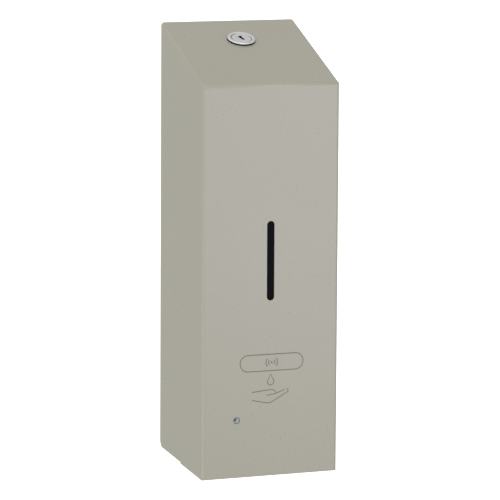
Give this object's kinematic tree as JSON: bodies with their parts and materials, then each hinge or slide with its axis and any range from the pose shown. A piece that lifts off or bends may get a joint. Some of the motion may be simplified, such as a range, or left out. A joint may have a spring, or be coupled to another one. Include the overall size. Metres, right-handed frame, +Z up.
{
  "type": "wall mounted soap dispenser",
  "caption": "Slim wall mounted automatic soap dispenser with a sloped top, hinged sheet metal cover, cam lock, level slot and inner tank with gear pump.",
  "frame": {"origin": "on the wall plane, at the middle of the wall plate's lower edge", "axes": "+X to the object's right as seen from the front, +Y into the wall, +Z up"},
  "size_m": [0.108, 0.1092, 0.3356],
  "materials": {
    "cover_paint": "satin powder coat",
    "plate_steel": "zinc plated",
    "smoked_clear": "smoked acrylic",
    "clear_lens": "clear polycarbonate",
    "lock_chrome": "satin nickel",
    "steel_hardware": "zinc plated",
    "spring_steel": "blackened spring steel",
    "white_nylon": "nylon",
    "chassis_plastic": "moulded ABS, fine grain",
    "tank_plastic": "translucent polyethylene",
    "dark_plastic": "moulded ABS",
    "silicone": "soft silicone",
    "black_rubber": "nitrile",
    "hose_clear": "clear silicone hose",
    "pump_plastic": "acetal",
    "gear_plastic": "natural acetal",
    "gasket_red": "silicone sheet",
    "copper_winding": "enamelled windings",
    "ferrite": "ferrite",
    "board_green": "solder mask",
    "led_blue": "tinted epoxy",
    "led_clear": "clear epoxy",
    "led_dark": "infrared pass epoxy",
    "eye_dark": "infrared pass acrylic",
    "switch_red": "moulded",
    "cell_wrap": "plain printed sleeve",
    "contact_nickel": "nickel plated",
    "lead_red": "insulation",
    "lead_black": "insulation"
  },
  "bodies": {
    "wall_unit": {"wall_plate": "plate_steel", "latch_bracket": "plate_steel", "hinge_washers": "white_nylon", "chassis": "chassis_plastic", "chassis_panel": "chassis_plastic", "chassis_screws": "steel_hardware", "panel_screws": "steel_hardware", "tank_socket": "white_nylon", "socket_ring": "black_rubber", "inlet_hose": "hose_clear", "outlet_hose": "hose_clear", "nozzle": "dark_plastic", "pump_body": "pump_plastic", "pump_gasket": "gasket_red", "pump_cover": "pump_plastic", "pump_screws": "steel_hardware", "motor_magnets": "ferrite", "motor_can": "steel_hardware", "motor_cap": "dark_plastic", "circuit_board": "board_green", "board_parts": "dark_plastic", "status_led": "led_blue", "ir_emitter": "led_clear", "ir_receiver": "led_dark", "sensor_window": "eye_dark", "switch_body": "dark_plastic", "battery_tray": "dark_plastic", "battery_cell_1": "cell_wrap", "battery_cell_2": "cell_wrap", "battery_cell_3": "cell_wrap", "battery_cell_4": "cell_wrap", "battery_springs": "contact_nickel", "battery_contacts": "contact_nickel", "battery_door": "chassis_plastic", "door_screw": "steel_hardware", "motor_leads": "lead_red", "battery_leads": "lead_black"},
    "cover": {"front_cover": "cover_paint", "level_window": "smoked_clear", "status_light_pipe": "clear_lens", "hinge_pins": "steel_hardware", "pin_clips": "spring_steel", "lock_barrel": "lock_chrome", "lock_nut": "steel_hardware"},
    "lock": {"lock_plug": "lock_chrome", "lock_cam": "steel_hardware", "cam_screw": "steel_hardware"},
    "tank_body": {"tank_base": "tank_plastic", "tank": "tank_plastic", "tank_top": "tank_plastic", "lid_pin": "steel_hardware"},
    "lid": {"tank_lid": "dark_plastic", "lid_gasket": "silicone"},
    "pump_rotor": {"drive_gear": "gear_plastic", "motor_shaft": "steel_hardware", "motor_armature": "copper_winding"},
    "pump_idler": {"driven_gear": "gear_plastic"},
    "switch": {"switch_slider": "switch_red"}
  },
  "joints": [
    {"name": "cover_hinge", "type": "hinge", "parent": "wall_unit", "child": "cover", "pos_m": [0, -0.0063, 0.0069], "axis": [1, 0, 0], "range_deg": [0, 85]},
    {"name": "lock_turn", "type": "hinge", "parent": "cover", "child": "lock", "pos_m": [0, -0.033, 0.32403], "axis": [0, 0.3361, -0.9418], "range_deg": [0, 90]},
    {"name": "tank_lift", "type": "slide", "parent": "wall_unit", "child": "tank_body", "axis": [0, 0, 1], "range_m": [0, 0.012]},
    {"name": "lid_hinge", "type": "hinge", "parent": "tank_body", "child": "lid", "pos_m": [0, -0.0404, 0.2592], "axis": [-1, 0, 0], "range_deg": [0, 75]},
    {"name": "pump_spin", "type": "hinge", "parent": "wall_unit", "child": "pump_rotor", "pos_m": [-0.006, -0.053, 0.03], "axis": [0, 0, 1], "continuous": true},
    {"name": "idler_spin", "type": "hinge", "parent": "wall_unit", "child": "pump_idler", "pos_m": [0.006, -0.053, 0.03], "axis": [0, 0, 1], "continuous": true},
    {"name": "switch_slide", "type": "slide", "parent": "wall_unit", "child": "switch", "axis": [0, 0, 1], "range_m": [0, 0.004]}
  ],
  "couplings": [
    {"joint": "idler_spin", "follows": "pump_spin", "ratio": -1}
  ]
}
